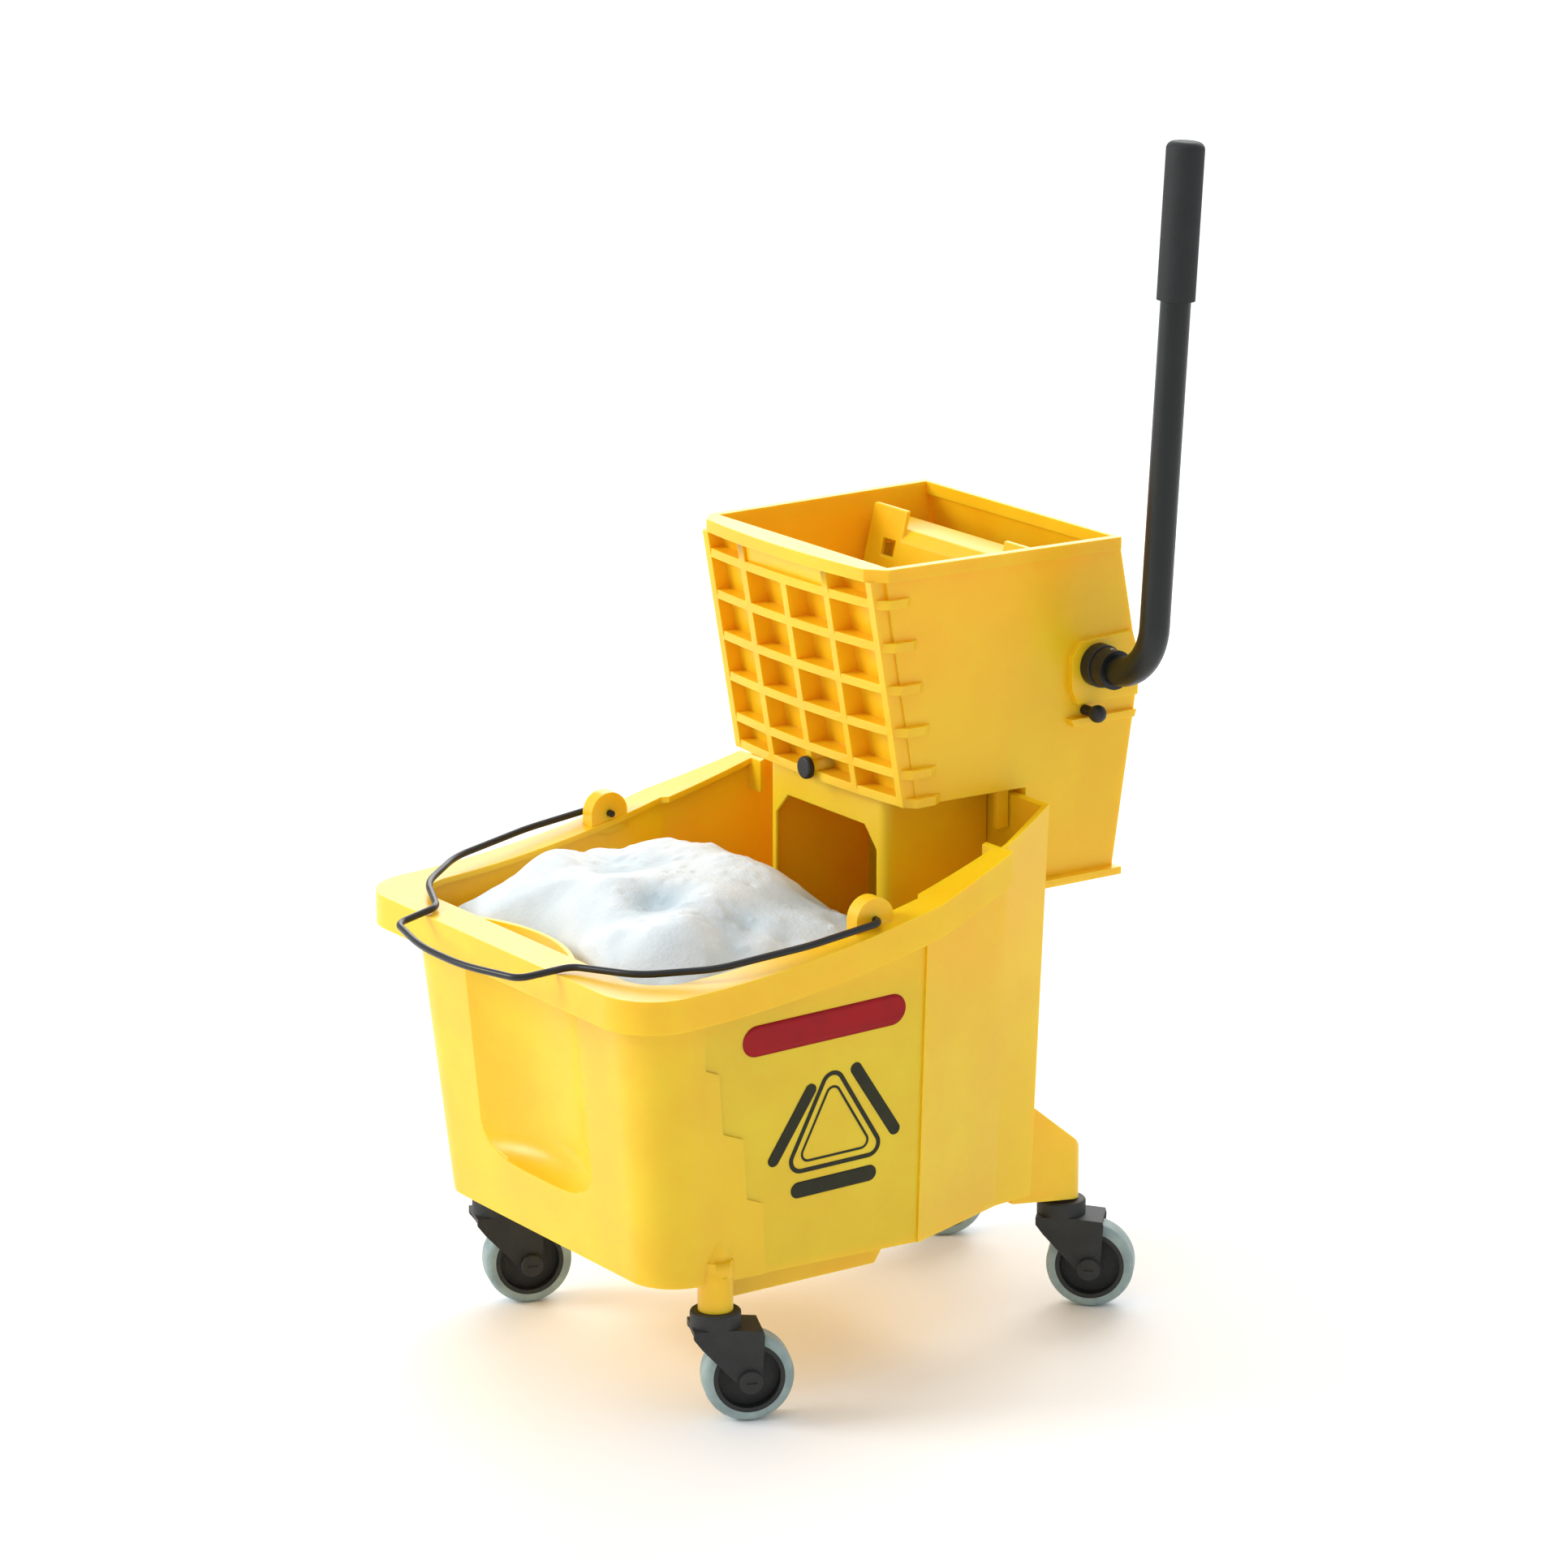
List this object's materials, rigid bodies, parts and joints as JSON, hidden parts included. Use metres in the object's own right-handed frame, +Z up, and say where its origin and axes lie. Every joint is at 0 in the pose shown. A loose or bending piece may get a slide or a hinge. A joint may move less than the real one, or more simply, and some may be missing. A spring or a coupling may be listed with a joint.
{
  "type": "mop bucket with wringer",
  "caption": "Rolling mop bucket on swivel casters with a carrying bail and a lift-off side-lever wringer that presses a mop with a rack-driven plate.",
  "frame": {"origin": "middle of the whole object's footprint, on the floor under the wheels", "axes": "+Z up, the pouring end towards -Y, the lever on the +X side"},
  "size_m": [0.4128, 0.5692, 0.9435],
  "materials": {
    "yellow_plastic": "moulded polypropylene, satin gloss",
    "black_wire": "black coated wire",
    "black_tube": "black powder coat, semi gloss",
    "grip_rubber": "fine textured black rubber",
    "black_plastic": "moulded black nylon",
    "caster_plastic": "textured charcoal nylon",
    "tread_rubber": "grey thermoplastic rubber",
    "gear_plastic": "natural nylon",
    "plated_steel": "zinc plated steel"
  },
  "bodies": {
    "bucket": {"bucket_shell": "yellow_plastic", "splash_baffle": "yellow_plastic", "caster_stem_front_left": "plated_steel", "caster_stem_front_right": "plated_steel", "caster_stem_rear_left": "plated_steel", "caster_stem_rear_right": "plated_steel"},
    "bail": {"bail_wire": "black_wire"},
    "wringer": {"wringer_shell": "yellow_plastic", "bushing_right": "black_plastic", "bushing_left": "black_plastic", "spring_rod": "black_plastic", "front_stud": "black_plastic", "return_springs": "plated_steel"},
    "lever": {"lever_tube": "black_tube", "lever_grip": "grip_rubber", "lever_collar": "black_plastic", "lever_pin": "plated_steel", "drive_shaft": "plated_steel", "pinion_right": "gear_plastic", "pinion_left": "gear_plastic"},
    "press_plate": {"press_plate": "yellow_plastic", "rack_right": "gear_plastic", "rack_left": "gear_plastic"},
    "caster_front_left": {"swivel_collar_front_left": "caster_plastic", "fork_front_left": "caster_plastic", "axle_front_left": "plated_steel", "axle_caps_front_left": "caster_plastic"},
    "wheel_front_left": {"wheel_hub_front_left": "caster_plastic", "tyre_front_left": "tread_rubber"},
    "caster_front_right": {"swivel_collar_front_right": "caster_plastic", "fork_front_right": "caster_plastic", "axle_front_right": "plated_steel", "axle_caps_front_right": "caster_plastic"},
    "wheel_front_right": {"wheel_hub_front_right": "caster_plastic", "tyre_front_right": "tread_rubber"},
    "caster_rear_left": {"swivel_collar_rear_left": "caster_plastic", "fork_rear_left": "caster_plastic", "axle_rear_left": "plated_steel", "axle_caps_rear_left": "caster_plastic"},
    "wheel_rear_left": {"wheel_hub_rear_left": "caster_plastic", "tyre_rear_left": "tread_rubber"},
    "caster_rear_right": {"swivel_collar_rear_right": "caster_plastic", "fork_rear_right": "caster_plastic", "axle_rear_right": "plated_steel", "axle_caps_rear_right": "caster_plastic"},
    "wheel_rear_right": {"wheel_hub_rear_right": "caster_plastic", "tyre_rear_right": "tread_rubber"}
  },
  "joints": [
    {"name": "bail_hinge", "type": "hinge", "parent": "bucket", "child": "bail", "pos_m": [-0.0034, -0.01688, 0.381], "axis": [-1, 0, 0], "range_deg": [0, 95]},
    {"name": "wringer_lift", "type": "slide", "parent": "bucket", "child": "wringer", "axis": [0, 0, 1], "range_m": [0, 0.1]},
    {"name": "lever_turn", "type": "hinge", "parent": "wringer", "child": "lever", "pos_m": [-0.0034, 0.23713, 0.5295], "axis": [1, 0, 0], "range_deg": [0, 80]},
    {"name": "plate_slide", "type": "slide", "parent": "wringer", "child": "press_plate", "axis": [0, -1, 0], "range_m": [0, 0.028], "deforming": ["return_springs"]},
    {"name": "swivel_front_left", "type": "hinge", "parent": "bucket", "child": "caster_front_left", "pos_m": [-0.1594, -0.13987, 0.08], "axis": [0, 0, 1], "continuous": true},
    {"name": "spin_front_left", "type": "hinge", "parent": "caster_front_left", "child": "wheel_front_left", "pos_m": [-0.15119, -0.11732, 0.035], "axis": [-0.9397, 0.342, 0], "continuous": true},
    {"name": "swivel_front_right", "type": "hinge", "parent": "bucket", "child": "caster_front_right", "pos_m": [0.1526, -0.13987, 0.08], "axis": [0, 0, 1], "continuous": true},
    {"name": "spin_front_right", "type": "hinge", "parent": "caster_front_right", "child": "wheel_front_right", "pos_m": [0.16274, -0.11812, 0.035], "axis": [-0.9063, 0.4226, 0], "continuous": true},
    {"name": "swivel_rear_left", "type": "hinge", "parent": "bucket", "child": "caster_rear_left", "pos_m": [-0.1034, 0.23012, 0.08], "axis": [0, 0, 1], "continuous": true},
    {"name": "spin_rear_left", "type": "hinge", "parent": "caster_rear_left", "child": "wheel_rear_left", "pos_m": [-0.09068, 0.25048, 0.035], "axis": [-0.848, 0.5299, 0], "continuous": true},
    {"name": "swivel_rear_right", "type": "hinge", "parent": "bucket", "child": "caster_rear_right", "pos_m": [0.0966, 0.23012, 0.08], "axis": [0, 0, 1], "continuous": true},
    {"name": "spin_rear_right", "type": "hinge", "parent": "caster_rear_right", "child": "wheel_rear_right", "pos_m": [0.11266, 0.24796, 0.035], "axis": [-0.7431, 0.6691, 0], "continuous": true}
  ],
  "couplings": [
    {"joint": "plate_slide", "follows": "lever_turn", "m_per_rad": 0.02}
  ]
}
